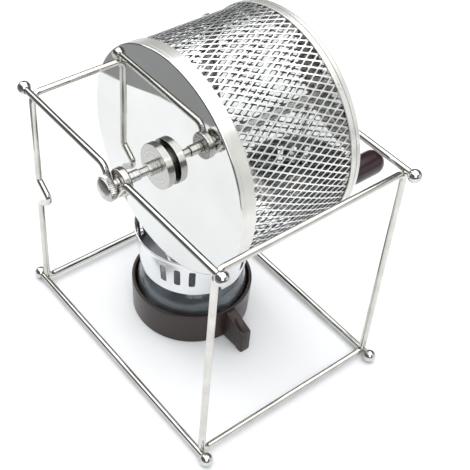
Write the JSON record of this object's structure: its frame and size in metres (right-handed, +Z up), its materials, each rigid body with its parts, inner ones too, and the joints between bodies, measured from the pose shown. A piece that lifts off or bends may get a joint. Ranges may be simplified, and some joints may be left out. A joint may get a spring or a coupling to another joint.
{
  "type": "stovetop coffee bean roaster",
  "caption": "Bent-wire stand carrying a crank-turned mesh drum with a polished lid above a spirit burner in a plastic cup.",
  "frame": {"origin": "middle of the burner cup's flat base, on the table", "axes": "+X along the rails, from the kinked hoop to the plain one; +Y along the axle, from the lid to the crank; +Z up"},
  "size_m": [0.1856, 0.1805, 0.2101],
  "materials": {
    "wire_steel": "polished",
    "ball_steel": "polished",
    "lid_mirror": "mirror polished",
    "mesh_steel": "satin",
    "turned_steel": "turned",
    "crank_steel": "polished",
    "grip_plastic": "gloss",
    "cup_plastic": "semi-gloss",
    "bowl_glass": "clear",
    "burner_steel": "polished",
    "wick_cotton": "woven cotton"
  },
  "bodies": {
    "stand": {"left_hoop": "wire_steel", "right_hoop": "wire_steel", "front_top_rail": "wire_steel", "back_top_rail": "wire_steel", "front_axle_cradle": "wire_steel", "back_axle_cradle": "wire_steel", "front_bottom_rail": "wire_steel", "back_bottom_rail": "wire_steel", "top_rail_balls": "ball_steel", "foot_balls": "ball_steel"},
    "bushes": {"front_bush": "turned_steel", "back_bush": "turned_steel"},
    "drum": {"drum_screen": "mesh_steel", "screen_front_ring": "turned_steel", "screen_back_ring": "turned_steel", "front_lid": "lid_mirror", "back_cap": "lid_mirror", "drum_axle": "turned_steel", "front_clamp": "turned_steel", "front_sleeve": "turned_steel", "back_clamp": "turned_steel", "back_sleeve": "turned_steel", "crank_arm": "crank_steel", "crank_nut": "crank_steel", "grip_pin": "crank_steel"},
    "grip": {"crank_grip": "grip_plastic"},
    "knob": {"knurled_knob": "turned_steel"},
    "cup": {"burner_cup": "cup_plastic"},
    "bowl": {"glass_bowl": "bowl_glass", "bowl_collar": "burner_steel"},
    "guard": {"wind_guard": "burner_steel"},
    "holder": {"wick_holder": "burner_steel"},
    "wick": {"wick": "wick_cotton"}
  },
  "joints": [
    {"name": "drum_lift", "type": "slide", "parent": "stand", "child": "bushes", "axis": [0, 0, 1], "range_m": [0, 0.025]},
    {"name": "drum_spin", "type": "hinge", "parent": "bushes", "child": "drum", "pos_m": [0.017, -0.0045, 0.145], "axis": [0, 1, 0], "continuous": true},
    {"name": "grip_spin", "type": "hinge", "parent": "drum", "child": "grip", "pos_m": [0.04759, 0.0855, 0.10382], "axis": [0, 1, 0], "continuous": true},
    {"name": "knob_turn", "type": "hinge", "parent": "drum", "child": "knob", "pos_m": [0.017, -0.073, 0.145], "axis": [0, -1, 0], "range_deg": [0, 1080]},
    {"name": "burner_slide", "type": "slide", "parent": "stand", "child": "cup", "axis": [1, 0, 0], "range_m": [-0.024, 0.042]},
    {"name": "bowl_lift", "type": "slide", "parent": "cup", "child": "bowl", "axis": [0, 0, 1], "range_m": [0, 0.005]},
    {"name": "guard_lift", "type": "slide", "parent": "bowl", "child": "guard", "axis": [0, 0, 1], "range_m": [0, 0.005]},
    {"name": "holder_lift", "type": "slide", "parent": "bowl", "child": "holder", "axis": [0, 0, 1], "range_m": [0, 0.005]},
    {"name": "wick_raise", "type": "slide", "parent": "holder", "child": "wick", "axis": [0, 0, 1], "range_m": [0, 0.004]}
  ]
}
